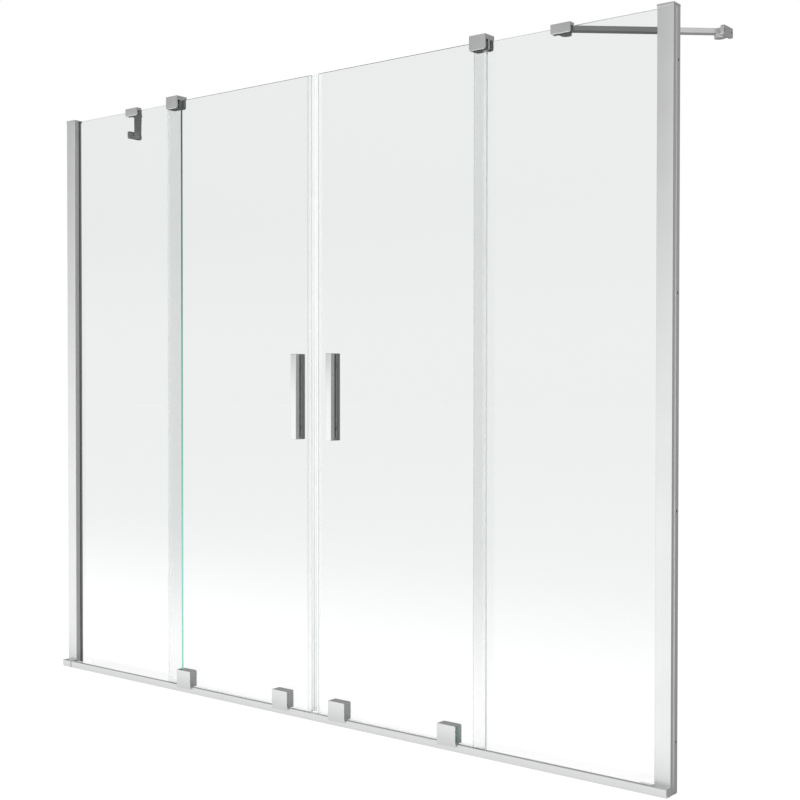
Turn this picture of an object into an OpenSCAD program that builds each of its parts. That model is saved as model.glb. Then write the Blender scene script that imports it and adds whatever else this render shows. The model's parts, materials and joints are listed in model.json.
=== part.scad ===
// Sliding bath screen: two fixed panes, two doors that roll on a bottom rail, two support arms.
// +X runs along the screen, +Y points into the bath and +Z is up.
// The origin is on the bath rim, under the rail, midway between the walls.
// The door glass has its front face at Y = 0. Left and right are as seen from the room.

/* [Overall] */
// Width from wall to wall
screen_w = 1790; // [1700:5:1860]
// Height from the bath rim to the top of the wall profiles
screen_h = 1500; // [1350:10:1600]

/* [Panes] */
// Thickness of the glass
glass_t = 6; // [5:1:8]
// Width of the left fixed pane
left_pane_w = 422.5; // [400:0.5:430]
// Width of the right fixed pane
right_pane_w = 438.5; // [420:0.5:450]
// Drop of the fixed panes below the top of the profiles
pane_drop = 3.5; // [3:0.5:5]
// Space between the door glass and the fixed panes
pane_gap = 9; // [8.5:0.5:14]
// Thickness of the gaskets and pads round the glass
gasket_t = 1; // [0.8:0.1:2]

/* [Doors] */
// Overlap of the left door and its fixed pane
left_overlap = 37.5; // [26:0.5:44]
// Overlap of the right door and its fixed pane
right_overlap = 39.5; // [26:0.5:44]
// Place of the line where the doors meet
meeting_x = 3; // [-10:1:10]
// Distance from that line to the left door glass
left_reach = 8; // [7:0.5:16]
// Distance from that line to the right door glass
right_reach = 13; // [7:0.5:16]
// Height of the lower edge of the door glass
door_bottom = 12; // [11:0.5:13]
// Drop of the door glass below the top of the profiles
door_drop = 5; // [4:0.5:12]
// How far each door slides open
door_travel = 350; // [250:5:350]

/* [Bottom rail] */
// How far the rail stands in front of the door glass
rail_front = 19; // [18:0.5:24]
// Height of the lip that the rollers run on
lip_h = 17.5; // [17:0.5:24]
// Depth of the lip
lip_d = 8; // [7:0.5:9]
// Thickness of the rail base
base_t = 3; // [2:0.5:4]
// Wall of the hollow lip
lip_wall = 2; // [1.2:0.2:2.4]
// Radius of the curved lower front of the rail
front_r = 17; // [14:1:30]
// Height at which that curve starts
curve_h = 8.5; // [5:0.5:12]
// Height of the ribs beside the pane seat
rib_h = 6.5; // [6.5:0.5:9]
// Thickness of those ribs
rib_t = 1.8; // [1.2:0.1:2.5]

/* [Wall profiles] */
// Width of the front face
profile_w = 34; // [32:1:44]
// Wall of the front box
profile_wall = 1.5; // [1.2:0.1:2.5]
// Gap between the front box and the wall
wall_play = 0.7; // [0.3:0.1:1.5]
// Depth of the slot that takes the pane
slot_depth = 16; // [12:0.5:18]
// Thickness of the web at the bottom of the slot
web_t = 2; // [1.2:0.1:3]
// Thickness of the lip behind the pane
back_lip_t = 3.7; // [3:0.1:6]
// Wall of the channel that is screwed to the wall
channel_t = 2; // [1.5:0.1:3]
// Radius of the front corners of the profile
profile_r = 1.2; // [0.6:0.1:2]
// Height of the top caps
cap_t = 5.5; // [5:0.5:8]
// How far the caps stand proud
cap_over = 0.9; // [0.3:0.1:2]
// Distance from the ends of the channel to its first wall holes
wall_hole_end = 100; // [60:5:200]
// Distance between the two wall holes of each half
wall_hole_pitch = 440; // [300:10:500]
// Radius of the wall holes
wall_hole_r = 2.5; // [2:0.1:3]
// Radius of the adjusting screws
adjust_r = 2; // [1.5:0.1:2.5]

/* [Top guides] */
// Length along the screen
guide_w = 40.5; // [34:0.5:50]
// Height
guide_h = 32; // [26:1:40]
// How far the guides stand above the profiles
guide_over = 10; // [6:0.5:14]
// Thickness of the top bridge
bridge_t = 10.5; // [8:0.5:13]
// Thickness of the front wall
guide_front_t = 3.5; // [2.5:0.5:6]
// Thickness of the back wall
guide_back_t = 8; // [6:0.5:10]
// Thickness of the liner beside the door glass
liner_t = 0.7; // [0.5:0.1:1.5]
// Radius of the lower corners
guide_r = 5; // [2:0.5:8]
// Radius of the set screws
set_screw_r = 2.5; // [2:0.1:3]
// Distance between the set screws of a guide
guide_screw_pitch = 20; // [16:1:24]

/* [Roller boxes] */
// Width of a box
box_w = 48; // [46:1:60]
// Depth of a box
box_d = 24; // [22.5:0.5:28]
// Height of the top of the boxes above the rim
box_top = 57.5; // [52:0.5:70]
// Height of the lower edge of the front skirt
skirt_z = 12; // [9:0.5:15]
// Wall of a box
box_wall = 2.5; // [1.5:0.1:2.5]
// Radius of the upper corners
box_r = 3; // [2:0.5:8]
// Radius of the softened front edges
edge_r = 1.2; // [0.5:0.1:1.5]
// Inset of the outer box on the left door
left_outer_inset = 80.5; // [70:0.5:120]
// Inset of the inner box on the left door
left_inner_inset = 79; // [70:0.5:120]
// Inset of the inner box on the right door
right_inner_inset = 74; // [70:0.5:120]
// Inset of the outer box on the right door
right_outer_inset = 83; // [70:0.5:120]
// Radius of the roller tread
roller_r = 12; // [10:0.5:14]
// Height of the roller flange beyond the tread
flange_lip = 2.2; // [1.5:0.1:2.6]
// Thickness of the roller flange
flange_t = 2; // [1.5:0.1:2.2]
// Radius of the roller axle
axle_r = 2.5; // [2:0.1:3]
// Distance between the two screws of a box
box_screw_pitch = 16; // [14:1:20]
// Radius of the box screws
box_screw_r = 2.4; // [2:0.1:2.5]

/* [Handles] */
// Length of a bar
handle_h = 200; // [120:5:300]
// Width of a bar
handle_w = 16; // [14:0.5:24]
// Depth of a bar
handle_d = 14.5; // [11:0.5:18]
// Height of the middle of the bars
handle_z = 750; // [600:10:900]
// Distance from the edge of the glass to the middle of a bar
handle_inset = 43; // [34:1:48]
// Distance between the two studs
stud_pitch = 144; // [90:1:160]
// Radius of the studs
stud_r = 3; // [2:0.5:4]
// Radius of the washers between bar and glass
washer_r = 9; // [7:0.5:11]

/* [Seals] */
// Thickness of the legs of the upright seals
seal_t = 0.8; // [0.5:0.1:0.9]
// How far the legs of the meeting seals reach over the glass
meeting_leg = 10; // [6:0.5:14]
// How far the legs of the edge seals reach over the glass
edge_leg = 8; // [5:0.5:12]
// Height of the bottom seal above the lower edge of the glass
bottom_leg = 5; // [3:0.5:5.5]
// Thickness of the fins of the bottom seal
fin_t = 0.8; // [0.6:0.1:1.2]
// Width of the magnet in a meeting seal
magnet_w = 4; // [3:0.5:5]
// Depth of that magnet
magnet_d = 4.4; // [3.4:0.2:4.8]

/* [Support arms] */
// Distance from the wall to the middle of the left clamp
left_clamp_from_wall = 254; // [240:1:290]
// Distance from the wall to the middle of the right clamp
right_clamp_from_wall = 249; // [240:1:290]
// Length of an arm between its pivots
arm_len = 315; // [300:1:360]
// Width of the arm
arm_w = 20; // [16:1:20]
// Height of the arm
arm_h = 10; // [8:0.5:10]
// Width of a clamp
clamp_w = 45; // [44:1:60]
// Height of a clamp
clamp_h = 20.5; // [20:0.5:30]
// Thickness of the front and back plates of a clamp
clamp_plate = 4; // [3:0.5:6]
// How far the top of a clamp stands above the pane
clamp_over = 8; // [7:0.5:12]
// Radius of the bosses that carry the arm
boss_r = 11; // [10.5:0.5:13]
// Height of those bosses
boss_h = 8; // [6:0.5:9]
// Radius of the pivot pins
pin_r = 4; // [3:0.5:5]
// Radius of the heads of the pivot pins
pin_head_r = 7; // [6:0.5:8]
// Thickness of the wall flange
flange_plate = 7; // [5:0.5:9]
// Length of the wall flange
flange_w = 46; // [46:1:60]
// Height of the wall flange
flange_h = 20; // [16:1:22]
// Distance between the holes of the wall flange
flange_pitch = 34; // [33:1:34]
// Radius of those holes
flange_hole_r = 2.5; // [2:0.1:2.5]

/* [Hidden] */
$fn = 48;
LEFT = -1;
RIGHT = 1;
BOTH = [LEFT, RIGHT];
// Gap between faces that slide or are adjusted
slide_gap = 0.3;
// Radial clearance of a shaft that turns
turn_gap = 0.05;
// Radial clearance of a screw or pin that is fixed
fixed_gap = 0.02;
// Extra length of a cutting body beyond what it cuts
cut = 1;
// How far the ends of pins and screws stay below the faces they pass through
end_inset = 0.5;
arc_steps = 8;

// Places across the depth of the screen
pane_y0 = glass_t + pane_gap;
pane_y1 = pane_y0 + glass_t;
slot_y0 = pane_y0 - gasket_t;
slot_y1 = pane_y1 + gasket_t;
lip_back_y = slot_y1 + back_lip_t;
profile_back = lip_back_y + slide_gap + channel_t;
channel_y0 = slot_y0 + slide_gap;

// Places along the screen, counted outwards from the middle
half_w = screen_w / 2;
profile_in = half_w - profile_w;
box_out = half_w - wall_play;
slot_bottom = profile_in + slot_depth;
pane_out = slot_bottom - gasket_t;
channel_in = slot_bottom + web_t + slide_gap;
function pane_in(s) = pane_out - (s == LEFT ? left_pane_w : right_pane_w);
function meet(s) = s * meeting_x;
function door_in(s) = meet(s) + (s == LEFT ? left_reach : right_reach);
function door_out(s) = pane_in(s) + (s == LEFT ? left_overlap : right_overlap);
function inner_box_x(s) = door_in(s) + (s == LEFT ? left_inner_inset : right_inner_inset);
function outer_box_x(s) = door_out(s) - (s == LEFT ? left_outer_inset : right_outer_inset);
function box_places(s) = [inner_box_x(s), outer_box_x(s)];
function handle_x(s) = door_in(s) + handle_inset;
function guide_x(s) = door_out(s) - guide_w / 2;
function clamp_x(s) = half_w - (s == LEFT ? left_clamp_from_wall : right_clamp_from_wall);

// Heights
profile_h = screen_h - cap_t;
pane_bottom = base_t + gasket_t;
pane_top = screen_h - pane_drop;
door_top = screen_h - door_drop;
guide_top = screen_h + guide_over;
guide_bottom = guide_top - guide_h;
guide_ceiling = guide_top - bridge_t;
adjust_places = [0.15, 0.5, 0.85] * screen_h;

// Roller boxes and rollers
box_y1 = -gasket_t;
box_y0 = box_y1 - box_d;
box_floor = lip_h + 0.8;
skirt_t = 2;
back_wall_t = 2.5;
back_boss_r = 5;
lip_back = lip_d - rail_front;
tread_inset = 0.5;
tread_front = tread_inset - rail_front;
flange_front = lip_back + slide_gap;
roller_back = flange_front + flange_t;
hub_front = tread_front - 0.8;
hub_back = roller_back + 0.4;
hub_r = 4.6;
tread_gap = 0.1;
axle_z = lip_h + roller_r + tread_gap;
axle_head_t = 1.2;
axle_head_r = 4.4;
box_screw_z = box_top - 8.5;
box_hole_r = box_screw_r + 1.6;
back_plate_h = 10;
back_plate_t = 3;
plate_edge = 0.8;
screw_head_t = 1.5;
screw_head_r = 4.2;

// Handles
handle_y0 = -gasket_t - handle_d;
stud_depth = 6;
handle_edge_r = 0.8;
stud_hole_r = stud_r + 2;
stud_places = [handle_z - stud_pitch / 2, handle_z + stud_pitch / 2];

// Seals
bottom_seal_top = door_bottom + bottom_leg;
bottom_web_t = 1.2;
upright_seal_z = bottom_seal_top + slide_gap;
edge_seal_top = guide_bottom - 2;
edge_web_t = 1;
fin_end_y = pane_y0 - 0.5;
fin_bottom = base_t + 1;
meet_gap = 0.3;
magnet_skin = 0.8;
magnet_gap = 0.1;
stop_gap = 1;
stop_h = door_bottom + 2;
stop_y0 = -5;
stop_y1 = glass_t + 3;

// Support arms
clamp_top = pane_top + clamp_over;
clamp_bottom = clamp_top - clamp_h;
clamp_y0 = slot_y0 - clamp_plate;
clamp_y1 = slot_y1 + clamp_plate;
clamp_corner_r = 3;
pivot_space = 1;
pivot_y = clamp_y1 + arm_w / 2 + pivot_space;
boss_top = clamp_bottom + boss_h;
arm_z = boss_top + slide_gap;
head_gap = 0.1;
pin_top = arm_z + arm_h + head_gap;
pin_head_t = 2;
wall_pivot_x = half_w - flange_plate - arm_w / 2 - pivot_space;
flange_bottom = clamp_bottom + 1;
flange_corner_r = 3;
clamp_screw_x = 17;
clamp_screw_z = clamp_bottom + 5;
clamp_screw_len = clamp_plate + 1.5;
clamp_pad_inset = 1;
function arm_run(s) = wall_pivot_x - clamp_x(s);
function arm_angle(s) = acos(arm_run(s) / arm_len);
function wall_pivot_y(s) = pivot_y + arm_len * sin(arm_angle(s));

// Everything is drawn on the right and mirrored for the left side.
module on_side(s) {
    if (s == LEFT) mirror([1, 0, 0]) children();
    else children();
}

// A block between two corners
module block(low, high) {
    translate(low) cube(high - low);
}

// A round bar along Y from y0 to y1
module bar_y(x, z, r, y0, y1) {
    translate([x, y1, z]) rotate([90, 0, 0]) cylinder(r = r, h = y1 - y0);
}

// A round bar along X from x0 to x1
module bar_x(y, z, r, x0, x1) {
    translate([x0, y, z]) rotate([0, 90, 0]) cylinder(r = r, h = x1 - x0);
}

// Carries a section drawn in Y and Z along X from x0 to x1
module along_x(x0, x1) {
    translate([x0, 0, 0]) rotate([90, 0, 90]) linear_extrude(height = x1 - x0) children();
}

// Carries an outline drawn in X and Z along Y from y0 to y1
module along_y(y0, y1) {
    translate([0, y1, 0]) rotate([90, 0, 0]) linear_extrude(height = y1 - y0) children();
}

// Points on an arc round (cx, cy) from angle a0 to angle a1
function arc(cx, cy, r, a0, a1) =
    [for (i = [0 : arc_steps]) let (a = a0 + (a1 - a0) * i / arc_steps) [cx + r * cos(a), cy + r * sin(a)]];

// A rectangle whose corners have the radii bl, br, tr and tl, a zero radius being a sharp corner
function corner(cx, cy, r, a) = r > 0 ? arc(cx, cy, r, a, a + 90) : [[cx, cy]];
module soft_rect(x0, y0, x1, y1, bl = 0, br = 0, tr = 0, tl = 0) {
    polygon(concat(
        corner(x0 + bl, y0 + bl, bl, 180),
        corner(x1 - br, y0 + br, br, 270),
        corner(x1 - tr, y1 - tr, tr, 0),
        corner(x0 + tl, y1 - tl, tl, 90)));
}

// Front of the rail, seen from its end: straight above, then curving back to the rim
function rail_front_points() =
    concat([[-rail_front + edge_r, lip_h]], arc(-rail_front + edge_r, lip_h - edge_r, edge_r, 90, 180),
        arc(-rail_front + front_r, curve_h, front_r, 180, 180 + asin(curve_h / front_r)));

// Rail and its end caps
module bottom_rail() {
    color("gainsboro") along_x(-profile_in, profile_in) {
        difference() {
            polygon(concat(rail_front_points(), [[profile_back, 0], [profile_back, base_t],
                [lip_back, base_t], [lip_back, lip_h]]));
            lip_hollow(0);
        }
        for (y = [slot_y0 - rib_t, slot_y1])
            translate([y, base_t]) square([rib_t, rib_h - base_t]);
    }
}

// Hollow of the lip, or a plug for it that is smaller by gap all round
module lip_hollow(gap) {
    translate([-rail_front + lip_wall + gap, base_t + gap])
        square([lip_d - 2 * (lip_wall + gap), lip_h - base_t - lip_wall - 2 * gap]);
}

module rail_end_cap() {
    plug_len = 8;
    plug_gap = 0.2;
    color("silver") {
        along_x(profile_in, half_w)
            polygon(concat(rail_front_points(), [[0, 0], [0, lip_h]]));
        along_x(profile_in - plug_len, profile_in) lip_hollow(plug_gap);
    }
}

// Strip under each fixed pane, in the slot between the ribs
module pane_seats() {
    color("darkgray") for (s = BOTH) on_side(s)
        along_x(pane_in(s), profile_in) difference() {
            translate([slot_y0, base_t]) square([slot_y1 - slot_y0, rib_h - base_t]);
            translate([pane_y0, pane_bottom]) square([glass_t, rib_h]);
        }
}

// Rubber blocks that end the travel of the doors
module door_stops() {
    color("dimgray") for (s = BOTH) on_side(s)
        block([door_out(s) + edge_web_t + door_travel + stop_gap, stop_y0, base_t],
            [profile_in, stop_y1, stop_h]);
}

// Channel on the wall
module wall_channel() {
    hole_y = (channel_y0 + profile_back) / 2;
    color("silver") difference() {
        union() {
            block([half_w - channel_t, channel_y0, 0], [half_w, profile_back, profile_h]);
            block([channel_in, channel_y0, 0], [half_w, channel_y0 + channel_t, profile_h]);
            block([profile_in + channel_t, profile_back - channel_t, 0], [half_w, profile_back, profile_h]);
        }
        for (z = [wall_hole_end, wall_hole_end + wall_hole_pitch,
                profile_h - wall_hole_end - wall_hole_pitch, profile_h - wall_hole_end])
            bar_x(hole_y, z, wall_hole_r, half_w - channel_t - cut, half_w + cut);
        for (z = adjust_places)
            bar_y(adjust_x(), z, adjust_r + 0.2, profile_back - channel_t - cut, profile_back + cut);
    }
}

function adjust_x() = profile_in + slot_depth / 2;

// Profile that holds the pane and slides on the wall channel
module glass_profile() {
    color("gainsboro") difference() {
        linear_extrude(height = profile_h) {
            difference() {
                soft_rect(profile_in, 0, box_out, slot_y0, bl = profile_r, br = profile_r);
                soft_rect(profile_in + profile_wall, profile_wall,
                    box_out - profile_wall, slot_y0 - profile_wall);
            }
            translate([slot_bottom, slot_y0]) square([web_t, lip_back_y - slot_y0]);
            translate([profile_in, slot_y1]) square([slot_depth + web_t, back_lip_t]);
        }
        for (z = adjust_places)
            bar_y(adjust_x(), z, adjust_r + fixed_gap, slot_y1 - cut, lip_back_y + cut);
    }
}

module profile_screws() {
    color("lightgray") for (s = BOTH, z = adjust_places) on_side(s) {
        bar_y(adjust_x(), z, adjust_r, slot_y1 + slide_gap, profile_back);
        bar_y(adjust_x(), z, 2 * adjust_r, profile_back, profile_back + adjust_r);
    }
}

module profile_cap() {
    plug_len = 10;
    plug_gap = profile_wall + 0.2;
    color("lightgray") {
        difference() {
            translate([0, 0, profile_h]) linear_extrude(height = cap_t)
                soft_rect(profile_in - cap_over, -cap_over, half_w, profile_back + cap_over,
                    bl = profile_r, br = profile_r, tl = profile_r);
            block([profile_in - cap_over - cut, slot_y0, profile_h - cut],
                [slot_bottom, slot_y1, pane_top + slide_gap]);
        }
        block([profile_in + plug_gap, plug_gap, profile_h - plug_len],
            [box_out - plug_gap, slot_y0 - plug_gap, profile_h]);
    }
}

// Dark strip that grips each fixed pane in its profile
module profile_gaskets() {
    color("dimgray") for (s = BOTH) on_side(s) linear_extrude(height = profile_h) difference() {
        translate([profile_in, slot_y0]) square([slot_depth, slot_y1 - slot_y0]);
        translate([profile_in - cut, pane_y0]) square([pane_out - profile_in + cut, glass_t]);
    }
}

module fixed_pane(s) {
    color("paleturquoise", 0.35)
        block([pane_in(s), pane_y0, pane_bottom], [pane_out, pane_y1, pane_top]);
}

// Guide on top of a fixed pane: the pane stands in the rear slot, the door runs in the front one
module top_guide(s) {
    x0 = door_out(s) - guide_w;
    x1 = door_out(s);
    color("silver") difference() {
        intersection() {
            along_y(-liner_y() - guide_front_t, slot_y1 + guide_back_t)
                soft_rect(x0, guide_bottom, x1, guide_top, guide_r, guide_r, edge_r, edge_r);
            along_x(x0, x1)
                soft_rect(-liner_y() - guide_front_t, guide_bottom, slot_y1 + guide_back_t, guide_top,
                    edge_r, edge_r, edge_r, edge_r);
        }
        block([x0 - cut, -liner_y(), guide_bottom - cut], [x1 + cut, glass_t + liner_y(), guide_ceiling]);
        block([x0 - cut, slot_y0, guide_bottom - cut], [x1 + cut, slot_y1, guide_ceiling]);
        for (x = guide_screw_places(s))
            bar_y(x, guide_screw_z(), set_screw_r + fixed_gap, slot_y1 - cut, slot_y1 + guide_back_t + cut);
    }
}

function liner_y() = slide_gap + liner_t;
function guide_screw_places(s) = [guide_x(s) - guide_screw_pitch / 2, guide_x(s) + guide_screw_pitch / 2];
function guide_screw_z() = (guide_bottom + pane_top) / 2;

module guide_liners() {
    lower = 0.5;
    color("dimgray") for (s = BOTH) on_side(s)
        along_x(door_out(s) - guide_w, door_out(s)) {
            difference() {
                translate([-liner_y(), guide_bottom + lower])
                    square([glass_t + 2 * liner_y(), guide_ceiling - guide_bottom - lower]);
                translate([-slide_gap, guide_bottom])
                    square([glass_t + 2 * slide_gap, guide_ceiling - liner_t - guide_bottom]);
            }
            difference() {
                translate([slot_y0, guide_bottom + lower])
                    square([slot_y1 - slot_y0, guide_ceiling - guide_bottom - lower]);
                translate([pane_y0, guide_bottom]) square([glass_t, pane_top - guide_bottom]);
            }
        }
}

module guide_screws() {
    color("gray") for (s = BOTH) on_side(s) for (x = guide_screw_places(s))
        bar_y(x, guide_screw_z(), set_screw_r, slot_y1, slot_y1 + guide_back_t - end_inset);
}

// Hole for a pivot pin through a boss
module boss_hole(x, y) {
    translate([x, y, clamp_bottom - cut]) cylinder(r = pin_r + fixed_gap, h = boss_h + 2 * cut);
}

// Clamp on top of a fixed pane, with the boss that carries the arm
module arm_clamp(s) {
    x = clamp_x(s);
    color("silver") difference() {
        union() {
            intersection() {
                along_y(clamp_y0, clamp_y1)
                    soft_rect(x - clamp_w / 2, clamp_bottom, x + clamp_w / 2, clamp_top,
                        clamp_corner_r, clamp_corner_r, edge_r, edge_r);
                along_x(x - clamp_w / 2, x + clamp_w / 2)
                    soft_rect(clamp_y0, clamp_bottom, clamp_y1, clamp_top, edge_r, 0, edge_r, edge_r);
            }
            translate([x, pivot_y, clamp_bottom]) cylinder(r = boss_r, h = boss_h);
            block([x - boss_r, clamp_y1 - edge_r, clamp_bottom], [x + boss_r, pivot_y, boss_top]);
        }
        block([x - clamp_w / 2 - cut, slot_y0, clamp_bottom - cut],
            [x + clamp_w / 2 + cut, slot_y1, pane_top + gasket_t]);
        boss_hole(x, pivot_y);
        for (side = BOTH)
            bar_y(x + side * clamp_screw_x, clamp_screw_z, set_screw_r + fixed_gap,
                slot_y1 - cut, clamp_y1 + cut);
    }
}

module clamp_pads() {
    color("dimgray") for (s = BOTH) on_side(s)
        along_x(clamp_x(s) - clamp_w / 2 + clamp_pad_inset, clamp_x(s) + clamp_w / 2 - clamp_pad_inset)
        difference() {
            translate([slot_y0, clamp_bottom + clamp_pad_inset])
                square([slot_y1 - slot_y0, pane_top + gasket_t - clamp_bottom - clamp_pad_inset]);
            translate([pane_y0, clamp_bottom]) square([glass_t, pane_top - clamp_bottom]);
        }
}

module clamp_screws() {
    color("gray") for (s = BOTH, side = BOTH) on_side(s)
        bar_y(clamp_x(s) + side * clamp_screw_x, clamp_screw_z, set_screw_r,
            slot_y1, slot_y1 + clamp_screw_len);
}

// Pin with a flat head; the arm turns on it
module pivot_pin(x, y) {
    translate([x, y, clamp_bottom + end_inset]) cylinder(r = pin_r, h = pin_top - clamp_bottom - end_inset);
    translate([x, y, pin_top]) cylinder(r = pin_head_r, h = pin_head_t);
}

module clamp_pins() {
    color("lightgray") for (s = BOTH) on_side(s) pivot_pin(clamp_x(s), pivot_y);
}

module support_arm(s) {
    color("gainsboro") translate([clamp_x(s), pivot_y, arm_z]) rotate([0, 0, arm_angle(s)])
        difference() {
            union() {
                translate([0, -arm_w / 2, 0]) cube([arm_len, arm_w, arm_h]);
                for (x = [0, arm_len]) translate([x, 0, 0]) cylinder(r = arm_w / 2, h = arm_h);
            }
            for (x = [0, arm_len])
                translate([x, 0, -cut]) cylinder(r = pin_r + turn_gap, h = arm_h + 2 * cut);
        }
}

module wall_flange(s) {
    y = wall_pivot_y(s);
    color("silver") difference() {
        union() {
            along_x(half_w - flange_plate, half_w)
                soft_rect(y - flange_w / 2, flange_bottom, y + flange_w / 2, flange_bottom + flange_h,
                    flange_corner_r, flange_corner_r, flange_corner_r, flange_corner_r);
            translate([wall_pivot_x, y, clamp_bottom]) cylinder(r = boss_r, h = boss_h);
            block([wall_pivot_x, y - boss_r, flange_bottom], [half_w - flange_plate, y + boss_r, boss_top]);
        }
        boss_hole(wall_pivot_x, y);
        for (side = BOTH)
            bar_x(y + side * flange_pitch / 2, flange_bottom + flange_h / 2, flange_hole_r,
                half_w - flange_plate - cut, half_w + cut);
    }
}

module flange_pin(s) {
    color("lightgray") pivot_pin(wall_pivot_x, wall_pivot_y(s));
}

module door_pane(s) {
    color("paleturquoise", 0.35) difference() {
        block([door_in(s), 0, door_bottom], [door_out(s), glass_t, door_top]);
        for (z = stud_places) bar_y(handle_x(s), z, stud_hole_r, -cut, glass_t + cut);
        for (x = box_places(s), side = BOTH)
            bar_y(x + side * box_screw_pitch / 2, box_screw_z, box_hole_r, -cut, glass_t + cut);
    }
}

// Magnetic seal on the edge where the doors meet
module meeting_seal(s) {
    x0 = meet(s) + meet_gap / 2;
    color("white", 0.7) translate([0, 0, upright_seal_z])
        linear_extrude(height = door_top - upright_seal_z) difference() {
            translate([x0, -seal_t]) square([door_in(s) + meeting_leg - x0, glass_t + 2 * seal_t]);
            translate([door_in(s), 0]) square([meeting_leg + cut, glass_t]);
            magnet_outline(s, magnet_gap);
        }
}

module magnet_outline(s, gap) {
    x0 = meet(s) + meet_gap / 2 + magnet_skin;
    translate([x0 - gap, (glass_t - magnet_d) / 2 - gap]) square([magnet_w + 2 * gap, magnet_d + 2 * gap]);
}

module magnet_strip(s) {
    color("gainsboro") translate([0, 0, upright_seal_z])
        linear_extrude(height = door_top - upright_seal_z) magnet_outline(s, 0);
}

// Seal on the outer edge of a door; its fin closes the space in front of the fixed pane
module edge_seal(s) {
    x1 = door_out(s) + edge_web_t;
    color("white", 0.7) translate([0, 0, upright_seal_z])
        linear_extrude(height = edge_seal_top - upright_seal_z) {
            difference() {
                translate([door_out(s) - edge_leg, -seal_t])
                    square([edge_leg + edge_web_t, glass_t + 2 * seal_t]);
                translate([door_out(s) - edge_leg - cut, 0]) square([edge_leg + cut, glass_t]);
            }
            translate([x1 - fin_t, glass_t + seal_t]) square([fin_t, fin_end_y - glass_t - seal_t]);
        }
}

module bottom_seal(s) {
    web_z = door_bottom - bottom_web_t;
    color("white", 0.7) along_x(door_in(s), door_out(s)) {
        difference() {
            translate([-seal_t, web_z]) square([glass_t + 2 * seal_t, bottom_seal_top - web_z]);
            translate([0, door_bottom]) square([glass_t, bottom_leg + cut]);
        }
        for (y = [0, glass_t - fin_t]) translate([y, fin_bottom]) square([fin_t, web_z - fin_bottom]);
    }
}

// Handle bars on both faces of a door, joined through the glass
module handle_bar(s, y0) {
    x0 = handle_x(s) - handle_w / 2;
    translate([0, 0, handle_z - handle_h / 2]) linear_extrude(height = handle_h)
        soft_rect(x0, y0, x0 + handle_w, y0 + handle_d,
            handle_edge_r, handle_edge_r, handle_edge_r, handle_edge_r);
}

module outer_handle(s) {
    color("silver") difference() {
        handle_bar(s, handle_y0);
        for (z = stud_places)
            bar_y(handle_x(s), z, stud_r + fixed_gap, -gasket_t - stud_depth, -gasket_t + cut);
    }
}

module inner_handle(s) {
    y0 = glass_t + gasket_t;
    color("silver") difference() {
        handle_bar(s, y0);
        for (z = stud_places) bar_y(handle_x(s), z, stud_r + fixed_gap, y0 - cut, y0 + stud_depth);
    }
}

// Washers under the handle bars and pads on both faces of the glass at each roller box
module door_pads(s) {
    color("dimgray") for (y = [-gasket_t, glass_t]) {
        for (z = stud_places) difference() {
            bar_y(handle_x(s), z, washer_r, y, y + gasket_t);
            bar_y(handle_x(s), z, stud_r + turn_gap, y - cut, y + gasket_t + cut);
        }
        for (x = box_places(s)) difference() {
            back_plate(x, y, y + gasket_t);
            for (side = BOTH)
                bar_y(x + side * box_screw_pitch / 2, box_screw_z, box_screw_r + turn_gap,
                    y - cut, y + gasket_t + cut);
        }
    }
}

module back_plate(x, y0, y1) {
    half = box_screw_pitch / 2 + screw_head_r + plate_edge;
    block([x - half, y0, box_screw_z - back_plate_h / 2], [x + half, y1, box_screw_z + back_plate_h / 2]);
}

module box_back_plates(s) {
    y0 = glass_t + gasket_t;
    color("silver") for (x = box_places(s)) difference() {
        back_plate(x, y0, y0 + back_plate_t);
        for (side = BOTH)
            bar_y(x + side * box_screw_pitch / 2, box_screw_z, box_screw_r + fixed_gap, y0 - cut,
                y0 + back_plate_t + cut);
    }
}

// Studs of the handles and screws of the roller boxes
module door_screws(s) {
    y1 = glass_t + gasket_t + back_plate_t;
    color("lightgray") {
        for (z = stud_places)
            bar_y(handle_x(s), z, stud_r, end_inset - gasket_t - stud_depth,
                glass_t + gasket_t + stud_depth - end_inset);
        for (x = box_places(s), side = BOTH) {
            bar_y(x + side * box_screw_pitch / 2, box_screw_z, box_screw_r, box_y1 - back_wall_t, y1);
            bar_y(x + side * box_screw_pitch / 2, box_screw_z, screw_head_r, y1, y1 + screw_head_t);
        }
    }
}

// Box in front of the glass: open below for the roller, with a skirt over the front of the rail
module roller_box(x) {
    x0 = x - box_w / 2;
    x1 = x + box_w / 2;
    color("silver") difference() {
        union() {
            difference() {
                intersection() {
                    along_y(box_y0, box_y1) soft_rect(x0, skirt_z, x1, box_top, 0, 0, box_r, box_r);
                    along_x(x0, x1) soft_rect(box_y0, skirt_z, box_y1, box_top, 0, 0, 0, edge_r);
                    translate([0, 0, skirt_z]) linear_extrude(height = box_top - skirt_z)
                        soft_rect(x0, box_y0, x1, box_y1, edge_r, edge_r);
                }
                block([x0 + box_wall, box_y0 + skirt_t, skirt_z - cut],
                    [x1 - box_wall, box_y1 - back_wall_t, box_top - box_wall]);
                block([x0 - cut, box_y0 + skirt_t, skirt_z - cut], [x1 + cut, box_y1 + cut, box_floor]);
            }
            bar_y(x, axle_z, back_boss_r, hub_back + slide_gap, box_y1 - back_wall_t);
        }
        bar_y(x, axle_z, axle_r + fixed_gap, hub_back, box_y1 + cut);
        for (side = BOTH)
            bar_y(x + side * box_screw_pitch / 2, box_screw_z, box_screw_r + fixed_gap,
                box_y1 - back_wall_t - cut, box_y1 + cut);
    }
}

module roller_axles(s) {
    color("lightgray") for (x = box_places(s)) {
        bar_y(x, axle_z, axle_r, hub_front - slide_gap, box_y1 - end_inset);
        bar_y(x, axle_z, axle_head_r, hub_front - slide_gap - axle_head_t, hub_front - slide_gap);
    }
}

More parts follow.
